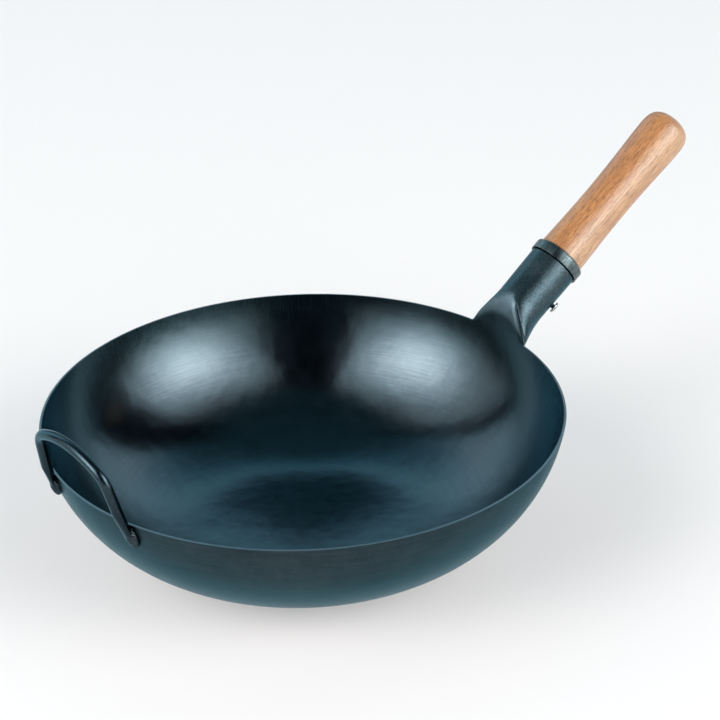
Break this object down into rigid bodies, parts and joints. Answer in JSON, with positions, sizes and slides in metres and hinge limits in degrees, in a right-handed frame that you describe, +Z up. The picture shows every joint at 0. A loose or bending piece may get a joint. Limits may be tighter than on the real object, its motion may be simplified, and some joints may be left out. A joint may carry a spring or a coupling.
{
  "type": "wok",
  "caption": "Flat-bottomed carbon steel wok: a deep round bowl whose rim rolls into a socket for a turned wooden stick handle, with a welded rod helper loop opposite.",
  "frame": {"origin": "centre of the flat base's underside", "axes": "+Z up, +X towards the stick handle, +Y to the left when looking along the handle; the helper loop is on -X"},
  "size_m": [0.5152, 0.34, 0.2069],
  "materials": {
    "blued_steel": "dark blue-grey blued sheet, satin, with fine circular polishing marks",
    "rod_steel": "dark drawn rod, smooth and fairly glossy",
    "weld_steel": "rippled grey bead with heat marks",
    "collar_steel": "dark steel, brushed around its circumference",
    "screw_steel": "bright zinc plate",
    "beech": "oiled beech with short dark flecks along the grain"
  },
  "bodies": {
    "root": {"wok_body": "blued_steel", "helper_handle": "rod_steel", "helper_weld_left": "weld_steel", "helper_weld_right": "weld_steel", "handle_grip": "beech", "handle_collar": "collar_steel", "handle_screw": "screw_steel"}
  },
  "joints": []
}
